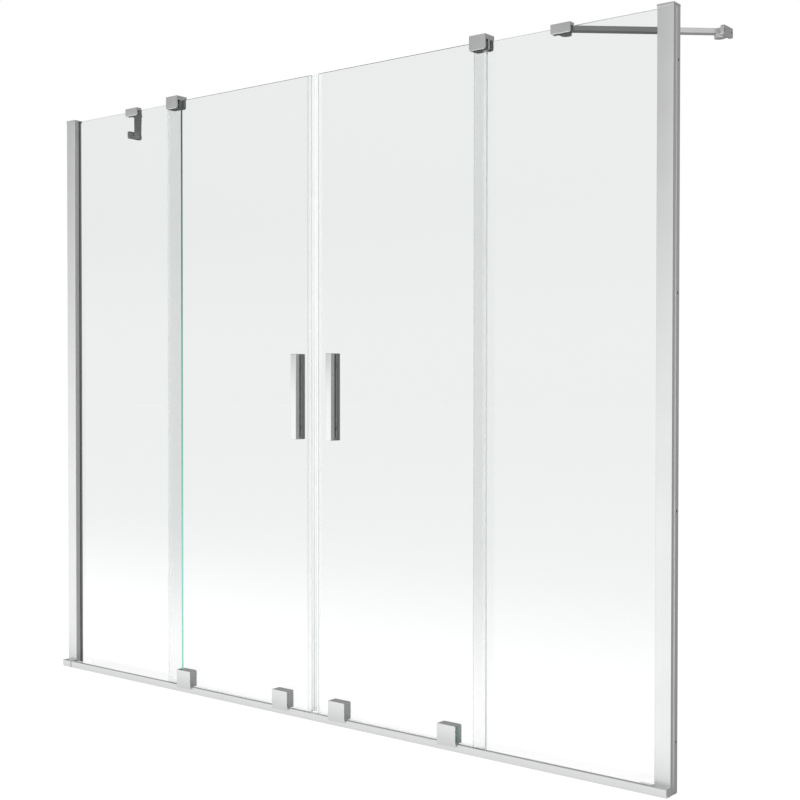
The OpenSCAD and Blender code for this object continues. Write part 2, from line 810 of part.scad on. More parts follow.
// Flanged roller: the tread runs on the lip, the flange hangs behind it
module roller(x) {
    color("whitesmoke") difference() {
        union() {
            bar_y(x, axle_z, roller_r, tread_front, flange_front);
            bar_y(x, axle_z, roller_r + flange_lip, flange_front, roller_back);
            bar_y(x, axle_z, hub_r, hub_front, hub_back);
        }
        bar_y(x, axle_z, axle_r + turn_gap, hub_front - cut, hub_back + cut);
    }
}

bottom_rail();
on_side(LEFT) rail_end_cap();  // rail_end_cap_left
on_side(RIGHT) rail_end_cap();  // rail_end_cap_right
pane_seats();
door_stops();
on_side(LEFT) wall_channel();  // wall_channel_left
on_side(RIGHT) wall_channel();  // wall_channel_right
on_side(LEFT) glass_profile();  // glass_profile_left
on_side(RIGHT) glass_profile();  // glass_profile_right
on_side(LEFT) profile_cap();  // profile_cap_left
on_side(RIGHT) profile_cap();  // profile_cap_right
profile_gaskets();
profile_screws();
on_side(LEFT) fixed_pane(LEFT);  // fixed_pane_left
on_side(RIGHT) fixed_pane(RIGHT);  // fixed_pane_right
on_side(LEFT) top_guide(LEFT);  // top_guide_left
on_side(RIGHT) top_guide(RIGHT);  // top_guide_right
guide_liners();
guide_screws();
on_side(LEFT) arm_clamp(LEFT);  // arm_clamp_left
on_side(RIGHT) arm_clamp(RIGHT);  // arm_clamp_right
clamp_pads();
clamp_screws();
clamp_pins();
on_side(LEFT) support_arm(LEFT);  // support_arm_left
on_side(RIGHT) support_arm(RIGHT);  // support_arm_right
on_side(LEFT) wall_flange(LEFT);  // wall_flange_left
on_side(RIGHT) wall_flange(RIGHT);  // wall_flange_right
on_side(LEFT) flange_pin(LEFT);  // flange_pin_left
on_side(RIGHT) flange_pin(RIGHT);  // flange_pin_right
on_side(LEFT) door_pane(LEFT);  // door_pane_left
on_side(RIGHT) door_pane(RIGHT);  // door_pane_right
on_side(LEFT) meeting_seal(LEFT);  // meeting_seal_left
on_side(RIGHT) meeting_seal(RIGHT);  // meeting_seal_right
on_side(LEFT) magnet_strip(LEFT);  // magnet_strip_left
on_side(RIGHT) magnet_strip(RIGHT);  // magnet_strip_right
on_side(LEFT) edge_seal(LEFT);  // edge_seal_left
on_side(RIGHT) edge_seal(RIGHT);  // edge_seal_right
on_side(LEFT) bottom_seal(LEFT);  // bottom_seal_left
on_side(RIGHT) bottom_seal(RIGHT);  // bottom_seal_right
on_side(LEFT) outer_handle(LEFT);  // outer_handle_left
on_side(RIGHT) outer_handle(RIGHT);  // outer_handle_right
on_side(LEFT) inner_handle(LEFT);  // inner_handle_left
on_side(RIGHT) inner_handle(RIGHT);  // inner_handle_right
on_side(LEFT) door_pads(LEFT);  // door_pads_left
on_side(RIGHT) door_pads(RIGHT);  // door_pads_right
on_side(LEFT) door_screws(LEFT);  // door_screws_left
on_side(RIGHT) door_screws(RIGHT);  // door_screws_right
on_side(LEFT) roller_box(inner_box_x(LEFT));  // inner_box_left
on_side(RIGHT) roller_box(inner_box_x(RIGHT));  // inner_box_right
on_side(LEFT) roller_box(outer_box_x(LEFT));  // outer_box_left
on_side(RIGHT) roller_box(outer_box_x(RIGHT));  // outer_box_right
on_side(LEFT) box_back_plates(LEFT);  // box_back_plates_left
on_side(RIGHT) box_back_plates(RIGHT);  // box_back_plates_right
on_side(LEFT) roller_axles(LEFT);  // roller_axles_left
on_side(RIGHT) roller_axles(RIGHT);  // roller_axles_right
on_side(LEFT) roller(inner_box_x(LEFT));  // inner_roller_left
on_side(RIGHT) roller(inner_box_x(RIGHT));  // inner_roller_right
on_side(LEFT) roller(outer_box_x(LEFT));  // outer_roller_left
on_side(RIGHT) roller(outer_box_x(RIGHT));  // outer_roller_right
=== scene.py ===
# Sliding bath screen: finishes, fine shapes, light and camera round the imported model
# Metres, +Z up, the bath at +Y
import json
import math
import bmesh
import bpy
import numpy as np
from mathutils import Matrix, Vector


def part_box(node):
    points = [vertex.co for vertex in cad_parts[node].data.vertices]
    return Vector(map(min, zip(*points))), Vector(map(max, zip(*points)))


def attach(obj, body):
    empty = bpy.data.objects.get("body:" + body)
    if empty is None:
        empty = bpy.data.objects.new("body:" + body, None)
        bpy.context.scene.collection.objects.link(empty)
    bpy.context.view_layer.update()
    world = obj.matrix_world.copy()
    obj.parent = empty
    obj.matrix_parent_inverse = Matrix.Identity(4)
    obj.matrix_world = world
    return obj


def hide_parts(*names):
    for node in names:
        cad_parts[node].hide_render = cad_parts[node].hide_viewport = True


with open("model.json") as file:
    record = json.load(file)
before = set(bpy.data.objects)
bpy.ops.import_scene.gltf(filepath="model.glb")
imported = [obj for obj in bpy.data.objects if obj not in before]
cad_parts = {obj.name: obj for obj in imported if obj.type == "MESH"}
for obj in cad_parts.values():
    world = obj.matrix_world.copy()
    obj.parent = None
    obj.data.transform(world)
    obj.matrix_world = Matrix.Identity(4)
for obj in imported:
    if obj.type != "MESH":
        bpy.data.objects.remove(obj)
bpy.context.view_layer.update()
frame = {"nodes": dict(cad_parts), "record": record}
print("packed model loaded")

sides = {"left": -1, "right": 1}  # with the way along X that leads outwards
mm = 0.001
bodyOf = {node: body for body, members in frame["record"]["behaviour"]["bodies"].items() for node in members}


# Shader node groups

# A group with named outputs, and named inputs with a value each
def newGroup(name, inputs, outputs):
    group = bpy.data.node_groups.new(name, "ShaderNodeTree")
    for socketName, socketType, value in inputs:
        socket = group.interface.new_socket(name=socketName, in_out="INPUT", socket_type=socketType)
        socket.default_value = value
    for socketName, socketType in outputs:
        group.interface.new_socket(name=socketName, in_out="OUTPUT", socket_type=socketType)
    start = group.nodes.new("NodeGroupInput")
    end = group.nodes.new("NodeGroupOutput")
    start.location = (-900, 0)
    end.location = (600, 0)
    return group, start, end


# Scale and detail of each noise of the drawn lines, and detail alone of the grain, whose scales are inputs
lineNoise = {"fine": (1.0, 3.0), "broad": (0.18, 1.0), "patch": (9.0, 2.0)}
grainDetail = {"grain": 2.0, "tone": 1.0}


def addNoise(nodes, scale, detail):
    noise = nodes.new("ShaderNodeTexNoise")
    noise.inputs["Scale"].default_value = scale
    noise.inputs["Detail"].default_value = detail
    return noise


# Fine drawn lines: noise stretched along the piece, turned about Z where the piece lies at an angle
def makeDrawnLines():
    group, start, end = newGroup(
        "drawnLines",
        [("Turn", "NodeSocketVector", (0, 0, 0)), ("Stretch", "NodeSocketVector", (1, 1, 1))],
        [("Lines", "NodeSocketFloat"), ("Streaks", "NodeSocketFloat"), ("Patches", "NodeSocketFloat")])
    nodes, links = group.nodes, group.links
    place = nodes.new("ShaderNodeTexCoord")
    turned = nodes.new("ShaderNodeMapping")
    stretched = nodes.new("ShaderNodeVectorMath")
    stretched.operation = "MULTIPLY"
    fine, broad, patch = [addNoise(nodes, *lineNoise[name]) for name in ("fine", "broad", "patch")]
    links.new(place.outputs["Object"], turned.inputs["Vector"])
    links.new(start.outputs["Turn"], turned.inputs["Rotation"])
    links.new(turned.outputs["Vector"], stretched.inputs[0])
    links.new(start.outputs["Stretch"], stretched.inputs[1])
    links.new(stretched.outputs["Vector"], fine.inputs["Vector"])
    links.new(stretched.outputs["Vector"], broad.inputs["Vector"])
    links.new(place.outputs["Object"], patch.inputs["Vector"])
    links.new(fine.outputs["Fac"], end.inputs["Lines"])
    links.new(broad.outputs["Fac"], end.inputs["Streaks"])
    links.new(patch.outputs["Fac"], end.inputs["Patches"])
    return group


# Grain of moulded and cast surfaces: small noise for the height, soft large noise for the tone
def makeMouldGrain():
    group, start, end = newGroup(
        "mouldGrain", [("Grain Scale", "NodeSocketFloat", 900.0), ("Tone Scale", "NodeSocketFloat", 14.0)],
        [("Grain", "NodeSocketFloat"), ("Tone", "NodeSocketFloat")])
    nodes, links = group.nodes, group.links
    place = nodes.new("ShaderNodeTexCoord")
    grain, tone = [addNoise(nodes, 1.0, grainDetail[name]) for name in ("grain", "tone")]
    links.new(place.outputs["Object"], grain.inputs["Vector"])
    links.new(place.outputs["Object"], tone.inputs["Vector"])
    links.new(start.outputs["Grain Scale"], grain.inputs["Scale"])
    links.new(start.outputs["Tone Scale"], tone.inputs["Scale"])
    links.new(grain.outputs["Fac"], end.inputs["Grain"])
    links.new(tone.outputs["Fac"], end.inputs["Tone"])
    return group


drawnLines = makeDrawnLines()
mouldGrain = makeMouldGrain()


# Materials

# A material with its nodes, its links and its shader
def newMaterial(name):
    material = bpy.data.materials.new(name)
    material.use_nodes = True
    tree = material.node_tree
    return material, tree.nodes, tree.links, tree.nodes["Principled BSDF"]


# One operation on two values, each a number or the output of a node
def addValue(nodes, links, operation, first, second):
    node = nodes.new("ShaderNodeMath")
    node.operation = operation
    for socket, value in zip(node.inputs, (first, second)):
        if isinstance(value, (int, float)):
            socket.default_value = value
        else:
            links.new(value, socket)
    return node.outputs["Value"]


# Soft step of a value between two ends, from one level to another
def softStep(nodes, links, value, start, end, low, high):
    step = nodes.new("ShaderNodeMapRange")
    step.interpolation_type = "SMOOTHSTEP"
    for name, number in (("From Min", start), ("From Max", end), ("To Min", low), ("To Max", high)):
        step.inputs[name].default_value = number
    links.new(value, step.inputs["Value"])
    return step.outputs["Result"]


# Colour between two tones by a mask
def mixTones(nodes, links, mask, low, high):
    ramp = nodes.new("ShaderNodeMix")
    ramp.data_type = "RGBA"
    ramp.inputs["A"].default_value = (*low, 1)
    ramp.inputs["B"].default_value = (*high, 1)
    links.new(mask, ramp.inputs["Factor"])
    return ramp.outputs["Result"]


# Noise stays mostly between these two values
noiseSpan = (0.3, 0.7)


# Value between two limits by a mask of noise
def mixValues(nodes, links, mask, low, high):
    span = nodes.new("ShaderNodeMapRange")
    for name, number in zip(("From Min", "From Max", "To Min", "To Max"), (*noiseSpan, low, high)):
        span.inputs[name].default_value = number
    links.new(mask, span.inputs["Value"])
    return span.outputs["Result"]


# Grain of moulded surfaces as a shader node, with the scales given
def addGrain(nodes, grainScale, toneScale=14.0):
    grain = nodes.new("ShaderNodeGroup")
    grain.node_tree = mouldGrain
    grain.inputs["Grain Scale"].default_value = grainScale
    grain.inputs["Tone Scale"].default_value = toneScale
    return grain


# Relief of the surface, its distance in metres
def addBump(nodes, links, height, shader, distance, strength):
    bump = nodes.new("ShaderNodeBump")
    bump.inputs["Distance"].default_value = distance
    bump.inputs["Strength"].default_value = strength
    links.new(height, bump.inputs["Height"])
    links.new(bump.outputs["Normal"], shader.inputs["Normal"])


# Colour and roughness of a surface, each between the two ends of its look by a mask
def addFinish(nodes, links, shader, look, toneMask, roughMask):
    links.new(mixTones(nodes, links, toneMask, look["low"], look["high"]), shader.inputs["Base Color"])
    links.new(mixValues(nodes, links, roughMask, *look["rough"]), shader.inputs["Roughness"])


metalLooks = {
    "anodised": {"low": (0.85, 0.855, 0.86), "high": (0.9, 0.903, 0.906), "rough": (0.30, 0.38), "bump": 0.1},
    "rail": {"low": (0.92, 0.925, 0.93), "high": (0.97, 0.973, 0.976), "rough": (0.30, 0.38), "bump": 0.1},
    "bar": {"low": (0.88, 0.885, 0.89), "high": (0.94, 0.943, 0.946), "rough": (0.22, 0.28), "bump": 0.08},
    "satin": {"low": (0.78, 0.785, 0.79), "high": (0.84, 0.843, 0.847), "rough": (0.24, 0.31), "bump": 0.08},
    "steel": {"low": (0.58, 0.58, 0.59), "high": (0.70, 0.70, 0.71), "rough": (0.26, 0.36), "bump": 0.06},
}
# Lines per metre along and across the drawing, scales of the blasted grain and its tone, depths of the bumps
metalGrain = {"along": 9.0, "across": 1700.0, "blasted": 2600.0, "blastedTone": 22.0}
bumpDepth = {"fine": 0.00002, "moulded": 0.00004}


# Metal with drawn lines that run along one axis of the piece
def drawnMetal(name, look, along, turn=0.0):
    material, nodes, links, shader = newMaterial(name)
    lines = nodes.new("ShaderNodeGroup")
    lines.node_tree = drawnLines
    lines.inputs["Turn"].default_value = (0, 0, turn)
    stretch = [metalGrain["along" if axis == along else "across"] for axis in "XYZ"]
    lines.inputs["Stretch"].default_value = stretch
    shader.inputs["Metallic"].default_value = 1.0
    addFinish(nodes, links, shader, look, lines.outputs["Streaks"], lines.outputs["Patches"])
    addBump(nodes, links, lines.outputs["Lines"], shader, bumpDepth["fine"], look["bump"])
    return material


# Metal with an even, finely blasted surface
def blastedMetal(name, look):
    material, nodes, links, shader = newMaterial(name)
    grain = addGrain(nodes, metalGrain["blasted"], metalGrain["blastedTone"])
    shader.inputs["Metallic"].default_value = 1.0
    addFinish(nodes, links, shader, look, grain.outputs["Tone"], grain.outputs["Tone"])
    addBump(nodes, links, grain.outputs["Grain"], shader, bumpDepth["fine"], look["bump"])
    return material


# Moulded rubber and plastic: tones, roughnesses, scale of the grain, strengths of the bump and of the gloss
mouldedLooks = {
    "darkRubber": {"low": (0.10, 0.105, 0.105), "high": (0.15, 0.155, 0.155), "rough": (0.6, 0.75),
                   "grain": 1100.0, "bump": 0.25, "gloss": 0.3},
    "paleRubber": {"low": (0.74, 0.75, 0.745), "high": (0.80, 0.81, 0.805), "rough": (0.55, 0.7),
                   "grain": 1100.0, "bump": 0.2, "gloss": 0.5},
    "whiteNylon": {"low": (0.80, 0.80, 0.785), "high": (0.86, 0.86, 0.85), "rough": (0.38, 0.5),
                   "grain": 900.0, "bump": 0.15, "gloss": 0.5},
    "darkNylon": {"low": (0.045, 0.047, 0.048), "high": (0.07, 0.072, 0.073), "rough": (0.45, 0.6),
                  "grain": 900.0, "bump": 0.15, "gloss": 0.5},
    "sealMagnet": {"low": (0.86, 0.87, 0.868), "high": (0.91, 0.92, 0.918), "rough": (0.4, 0.5),
                   "grain": 700.0, "bump": 0.1, "gloss": 0.5},
}


def mouldedMaterial(name, look):
    material, nodes, links, shader = newMaterial(name)
    grain = addGrain(nodes, look["grain"])
    shader.inputs["Specular IOR Level"].default_value = look["gloss"]
    addFinish(nodes, links, shader, look, grain.outputs["Tone"], grain.outputs["Tone"])
    addBump(nodes, links, grain.outputs["Grain"], shader, bumpDepth["moulded"], look["bump"])
    return material


# Tints of the panes from the rim up: share of the height, then the colour that light has after both faces;
# the paler tint near the bottom rim is painted light over the glass's own tint
glassTintsAndLight = [(0.05, (0.995, 1.0, 0.998)), (0.31, (0.845, 0.862, 0.854)), (0.50, (0.845, 0.860, 0.853)),
              (0.93, (0.872, 0.890, 0.882))]
# Polished edges in the open, edges seen through the pane, edges under the seals, those that end in a top
# guide, and upper and lower edges: each darker towards the top in painted shade, the ones in a top guide
# black at the very top in painted shade, and the upper and lower ones near black in painted shade
edgeTintsAndShade = {
    "open": [(0.2, (0.34, 0.98, 0.83)), (0.53, (0.20, 0.64, 0.52)), (0.75, (0.10, 0.33, 0.27)),
             (0.97, (0.045, 0.13, 0.105))],
    "inner": [(0.1, (0.88, 0.91, 0.90)), (0.9, (0.80, 0.84, 0.83))],
    "sealedInner": [(0.1, (0.74, 0.78, 0.77)), (0.9, (0.50, 0.54, 0.53))],
    "sealed": [(0.1, (0.84, 0.88, 0.87)), (0.6, (0.72, 0.76, 0.75)), (0.975, (0.60, 0.635, 0.625))],
    "guided": [(0.1, (0.84, 0.88, 0.87)), (0.6, (0.72, 0.76, 0.75)), (0.975, (0.60, 0.635, 0.625)),
               (0.985, (0.04, 0.05, 0.05))],
    "rim": [(0.1, (0.10, 0.11, 0.105)), (0.9, (0.02, 0.024, 0.022))],
}
# Tint seen from outside, tint and alpha seen from inside, and strength of the gloss
edgeLooks = {
    "openEdge": {"outside": "open", "inside": "inner", "innerAlpha": 0.45, "gloss": 0.5},
    "sealedEdge": {"outside": "sealed", "inside": "sealedInner", "innerAlpha": 0.85, "gloss": 0.5},
    "outerEdge": {"outside": "guided", "inside": "inner", "innerAlpha": 0.3, "gloss": 0.5},
    # Upper and lower edges: near black all over, painted shade
    "rimEdgeShade": {"outside": "rim", "inside": "rim", "innerAlpha": 1.0, "gloss": 0.0},
}
edgePolish = {"grain": 1500.0, "rough": (0.10, 0.20), "bump": 0.1}
glassBody = {"index": 1.5, "rough": 0.0}
paneHeight = 1.5  # metres, at share 1 of the height


# Colour by the height on the piece, through the stops given
def heightTint(nodes, links, stops):
    place = nodes.new("ShaderNodeTexCoord")
    split = nodes.new("ShaderNodeSeparateXYZ")
    ramp = nodes.new("ShaderNodeValToRGB")
    links.new(place.outputs["Object"], split.inputs["Vector"])
    links.new(addValue(nodes, links, "DIVIDE", split.outputs["Z"], paneHeight), ramp.inputs["Fac"])
    ramp.color_ramp.interpolation = "EASE"
    while len(ramp.color_ramp.elements) < len(stops):
        ramp.color_ramp.elements.new(0.5)
    for element, (position, tint) in zip(ramp.color_ramp.elements, stops):
        element.position = position
        element.color = (*tint, 1)
    return ramp.outputs["Color"]


# The big faces: clear all through, tinted by the height, with painted light near the bottom rim
def makeGlass():
    material, nodes, links, shader = newMaterial("clearGlass")
    shader.inputs["Transmission Weight"].default_value = 1.0
    shader.inputs["IOR"].default_value = glassBody["index"]
    shader.inputs["Roughness"].default_value = glassBody["rough"]
    links.new(heightTint(nodes, links, glassTintsAndLight), shader.inputs["Base Color"])
    return material


# Edge of a pane: one tint seen from outside, another seen from inside through the faces of the pane, both
# graded by the height with painted shade
def makeGlassEdge(name, look):
    material, nodes, links, shader = newMaterial(name)
    shader.inputs["Specular IOR Level"].default_value = look["gloss"]
    tint = heightTint(nodes, links, edgeTintsAndShade[look["outside"]])
    if look["inside"] != look["outside"]:
        geometry = nodes.new("ShaderNodeNewGeometry")
        both = nodes.new("ShaderNodeMix")
        both.data_type = "RGBA"
        links.new(geometry.outputs["Backfacing"], both.inputs["Factor"])
        links.new(tint, both.inputs["A"])
        links.new(heightTint(nodes, links, edgeTintsAndShade[look["inside"]]), both.inputs["B"])
        tint = both.outputs["Result"]
        alpha = softStep(nodes, links, geometry.outputs["Backfacing"], 0.0, 1.0, 1.0, look["innerAlpha"])
        links.new(alpha, shader.inputs["Alpha"])
    links.new(tint, shader.inputs["Base Color"])
    grain = addGrain(nodes, edgePolish["grain"])
    rough = mixValues(nodes, links, grain.outputs["Tone"], *edgePolish["rough"])
    links.new(rough, shader.inputs["Roughness"])
    addBump(nodes, links, grain.outputs["Grain"], shader, bumpDepth["fine"], edgePolish["bump"])
    return material


sealLooks = {
    "faintSeal": {"low": (0.58, 0.61, 0.60), "high": (0.68, 0.71, 0.70), "rough": (0.18, 0.28),
                  "alpha": (0.02, 0.05)},
    "clearSeal": {"low": (0.58, 0.61, 0.60), "high": (0.68, 0.71, 0.70), "rough": (0.18, 0.28),
                  "alpha": (0.04, 0.08)},
    # Near black: painted shade on the ends of the legs
    "sealEdgeShade": {"low": (0.05, 0.055, 0.055), "high": (0.08, 0.085, 0.085), "rough": (0.2, 0.3),
                 "alpha": (0.80, 0.92)},
}
sealGrain = 400.0


# Clear soft plastic: faint on its broad faces; the end of a leg is painted near black, as painted shade,
# where it is seen through the seal
def makeSeal(name, innerOnly=False):
    look = sealLooks[name]
    material, nodes, links, shader = newMaterial(name)
    grain = addGrain(nodes, sealGrain)
    addFinish(nodes, links, shader, look, grain.outputs["Tone"], grain.outputs["Tone"])
    alpha = mixValues(nodes, links, grain.outputs["Tone"], *look["alpha"])
    if innerOnly:
        geometry = nodes.new("ShaderNodeNewGeometry")
        alpha = addValue(nodes, links, "MULTIPLY", alpha, geometry.outputs["Backfacing"])
    links.new(alpha, shader.inputs["Alpha"])
    return material


# Angle of an arm from the X axis, from its box
def armTurn(side):
    low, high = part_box("support_arm_" + side)
    return math.atan2(high.y - low.y, high.x - low.x)


materials = {
    "uprightAluminium": drawnMetal("uprightAluminium", metalLooks["anodised"], "Z"),
    "railAluminium": drawnMetal("railAluminium", metalLooks["rail"], "X"),
    "barMetal": drawnMetal("barMetal", metalLooks["bar"], "Z"),
    "armMetalLeft": drawnMetal("armMetalLeft", metalLooks["satin"], "X", armTurn("left")),
    "armMetalRight": drawnMetal("armMetalRight", metalLooks["satin"], "X", -armTurn("right")),
    "castMetal": blastedMetal("castMetal", metalLooks["satin"]),
    "turnedSteel": drawnMetal("turnedSteel", metalLooks["steel"], "X"),
    "clearGlass": makeGlass(),
    **{name: makeGlassEdge(name, look) for name, look in edgeLooks.items()},
    "clearSeal": makeSeal("clearSeal"),
    "faintSeal": makeSeal("faintSeal"),
    "sealEdgeShade": makeSeal("sealEdgeShade", innerOnly=True),
    **{name: mouldedMaterial(name, look) for name, look in mouldedLooks.items()},
}
print("materials made")


# Meshes

# Degrees at which shading turns sharp, and for copies of CAD nodes: metres between doubles, and degrees of a
# joint that is flat and of an edge that is rounded
meshRules = {"sharp": 32, "doubles": 0.000002, "flat": 0.5, "rounded": 35}


# Puts a new piece in the scene: it rides on the body of the CAD node it stands for
def addPiece(name, points, faces, materialName, node):
    mesh = bpy.data.meshes.new(name)
    mesh.from_pydata(np.asarray(points, float).tolist(), [], faces)
    mesh.update()
    work = bmesh.new()
    work.from_mesh(mesh)
    bmesh.ops.recalc_face_normals(work, faces=work.faces)
    work.to_mesh(mesh)
    work.free()
    piece = bpy.data.objects.new(name, mesh)
    bpy.context.scene.collection.objects.link(piece)
    finishPiece(piece, materialName, node)
    return piece


# Material, body and replaced node of a piece, and its shading
def finishPiece(piece, materialName, node):
    piece.data.materials.clear()
    piece.data.materials.append(materials[materialName])
    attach(piece, bodyOf[node])
    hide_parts(node)
    smoothByAngle(piece.data, meshRules["sharp"])


# Smooth shading that stays sharp where two faces meet at more than the angle
def smoothByAngle(mesh, degrees):
    mesh.polygons.foreach_set("use_smooth", np.ones(len(mesh.polygons), bool))
    mesh.set_sharp_from_angle(angle=math.radians(degrees))


# A copy of a CAD node with its doubles merged, its flat faces joined and its edges rounded
def roundedCopy(node, name, materialName, radius, segments=3):
    source = frame["nodes"][node]
    mesh = source.data.copy()
    mesh.name = name
    work = bmesh.new()
    work.from_mesh(mesh)
    bmesh.ops.remove_doubles(work, verts=work.verts, dist=meshRules["doubles"])
    flat = math.radians(meshRules["flat"])
    bmesh.ops.dissolve_limit(work, angle_limit=flat, verts=work.verts, edges=work.edges)
    work.to_mesh(mesh)
    work.free()
    piece = bpy.data.objects.new(name, mesh)
    bpy.context.scene.collection.objects.link(piece)
    finishPiece(piece, materialName, node)
    rounding = piece.modifiers.new("Rounded edges", "BEVEL")
    rounding.width = radius
    rounding.segments = segments
    rounding.limit_method = "ANGLE"
    rounding.angle_limit = math.radians(meshRules["rounded"])
    rounding.harden_normals = True
    rounding.miter_outer = "MITER_ARC"
    return piece


# Quads between neighbouring rings, and a flat cap on the first and the last ring
def ringFaces(ringCount, stepCount):
    ring = np.arange(ringCount - 1)[:, None] * stepCount
    step = np.arange(stepCount)[None, :]
    after = (step + 1) % stepCount
    quads = np.stack([ring + step, ring + after, ring + stepCount + after, ring + stepCount + step], axis=-1)
    caps = [list(range(stepCount))[::-1], list(range((ringCount - 1) * stepCount, ringCount * stepCount))]
    return quads.reshape(-1, 4).tolist() + caps


# Quads of a ring of rings, closed both ways
def torusFaces(ringCount, stepCount):
    ring = np.arange(ringCount)[:, None]
    nextRing = (ring + 1) % ringCount
    step = np.arange(stepCount)[None, :]
    after = (step + 1) % stepCount
    quads = np.stack([ring * stepCount + step, ring * stepCount + after,
                      nextRing * stepCount + after, nextRing * stepCount + step], axis=-1)
    return quads.reshape(-1, 4).tolist()


# Several closed shapes as one list of points and one of faces
def joinShapes(shapes):
    points, faces, count = [], [], 0
    for shapePoints, shapeFaces in shapes:
        points.append(shapePoints)
        faces += [[corner + count for corner in face] for face in shapeFaces]
        count += len(shapePoints)
    return np.concatenate(points), faces


# Turns a shape made along +Z so that it runs along the axis, and moves its zero to the origin given
def placeShape(shape, origin, axis):
    points, faces = shape
    along = np.array(axis, float)
    across = np.array([0, 0, 1.0]) if abs(along[2]) < 0.5 else np.array([1.0, 0, 0])
    third = np.cross(along, across)
    return points @ np.stack([across, third, along]) + np.array(origin, float), faces


# Bar along Z: a rectangle with a quarter circle at each corner, shrunk near each end by a smaller one
def softBar(width, depth, length, corner, end, steps=7):
    angle = np.linspace(0, math.pi / 2, steps + 1)
    rise, inset = end * (1 - np.cos(angle)), end * (1 - np.sin(angle))
    height = np.concatenate([rise, length - rise[::-1]])
    shrink = np.concatenate([inset, inset[::-1]])[:, None]
    turn = (np.arange(4)[:, None] * math.pi / 2 + angle[None, :]).ravel()[None, :]
    signX = np.repeat([1, -1, -1, 1], steps + 1)[None, :]
    signY = np.repeat([1, 1, -1, -1], steps + 1)[None, :]
    radius = corner - shrink
    x = signX * (width / 2 - shrink - radius) + radius * np.cos(turn)
    y = signY * (depth / 2 - shrink - radius) + radius * np.sin(turn)
    z = np.broadcast_to(height[:, None], x.shape)
    return np.stack([x, y, z], axis=-1).reshape(-1, 3), ringFaces(len(height), x.shape[1])


# Shares of a screw: rounding of the head by its height, chamfer of the tip by the radius, softening under the
# head by that rounding, and rim, depth and floor of the socket by the socket's radius
screwForm = {"headRound": 0.35, "roundSteps": 5, "tip": 0.25, "under": 0.3, "socketRim": 0.06,
             "socketDepth": 1.1, "socketFloor": 1.25, "floorRadius": 0.1}


# Screw along +Z with its head from 0 up: circles from the tip to the rim, then hexagons down into the socket
def socketScrew(radius, length, headRadius, headHeight, socket, steps=48):
    theta = np.arange(steps) * 2 * math.pi / steps
    hexagon = 1 / np.cos((theta + math.pi / 6) % (math.pi / 3) - math.pi / 6)
    form = screwForm
    soft = min(headHeight, headRadius) * form["headRound"]
    curve = np.linspace(0, math.pi / 2, form["roundSteps"])
    rim = [(headRadius - soft + soft * math.cos(a), headHeight - soft + soft * math.sin(a)) for a in curve]
    tip, under, cut = radius * form["tip"], soft * form["under"], socket * form["socketRim"]
    depth, floorDepth = socket * form["socketDepth"], socket * form["socketFloor"]
    circles = [(radius - tip, -length), (radius, -length + tip), (radius, -0.01 * mm),
               (headRadius - under, 0.0), (headRadius, under)] + rim
    hexes = [(socket + cut, headHeight), (socket, headHeight - cut), (socket, headHeight - depth),
             (socket * form["floorRadius"], headHeight - floorDepth)]
    rounds = np.array([r * np.ones(steps) for r, z in circles] + [r * hexagon for r, z in hexes])
    heights = np.array([z for r, z in circles + hexes])[:, None] * np.ones(steps)
    points = np.stack([rounds * np.cos(theta), rounds * np.sin(theta), heights], axis=-1)
    return points.reshape(-1, 3), ringFaces(len(rounds), steps)


# A closed outline of radius and height turned about Z
def turnedShape(outline, steps):
    outline = np.array(outline, float)
    theta = np.arange(steps) * 2 * math.pi / steps
    points = np.stack([outline[:, :1] * np.cos(theta), outline[:, :1] * np.sin(theta),
                       outline[:, 1:] * np.ones(steps)], axis=-1)
    return points.reshape(-1, 3), torusFaces(len(outline), steps)


# An outline carried straight along X (outline in Y and Z) or along Z (outline in X and Y)
def carriedShape(outline, axis, start, end):
    outline = np.array(outline, float)
    rings = [start, end]
    if axis == "X":
        points = [np.column_stack([np.full(len(outline), place), outline]) for place in rings]
    else:
        points = [np.column_stack([outline, np.full(len(outline), place)]) for place in rings]
    return np.concatenate(points), ringFaces(2, len(outline))


# The two flanks of a lip that follows a centre line: half its thickness to each side, thinned by the taper
def lipFlanks(line, thickness, taper):
    line = np.array(line, float)
    run = np.gradient(line, axis=0)
    run /= np.linalg.norm(run, axis=1, keepdims=True)
    side = np.column_stack([-run[:, 1], run[:, 0]])
    half = thickness / 2 * np.linspace(1, taper, len(line))[:, None]
    return line + side * half, line - side * half


# Frame

# Material and radius of the rounded edges in millimetres
roundings = {
    "bottom_rail": ("railAluminium", 0.35), "wall_channel": ("uprightAluminium", 0.9),
    "glass_profile": ("uprightAluminium", 0.35), "rail_end_cap": ("railAluminium", 0.7),
    "profile_cap": ("castMetal", 0.6), "top_guide": ("castMetal", 0.8), "arm_clamp": ("castMetal", 0.8),
    "wall_flange": ("castMetal", 0.8), "inner_box": ("castMetal", 0.5), "outer_box": ("castMetal", 0.5),
    "box_back_plates": ("castMetal", 0.6), "pane_seats": ("darkRubber", 0.3),
    "door_stops": ("paleRubber", 1.0), "profile_gaskets": ("darkRubber", 0.2),
    "guide_liners": ("darkNylon", 0.2), "clamp_pads": ("darkRubber", 0.2),
    "door_pads": ("darkRubber", 0.25), "magnet_strip": ("sealMagnet", 0.5),
}
armRounding = 0.9  # the arms have a material for each side


# Copies with rounded edges of the nodes that need no more than that
def makeRoundedParts():
    for stem, (materialName, radius) in roundings.items():
        if stem in frame["nodes"]:
            roundedCopy(stem, stem + ".rounded", materialName, radius * mm)
            continue
        for side in sides:
            roundedCopy(f"{stem}_{side}", f"{stem}_{side}.rounded", materialName, radius * mm)
    for side in sides:
        node = "support_arm_" + side
        roundedCopy(node, node + ".rounded", "armMetal" + side.title(), armRounding * mm)


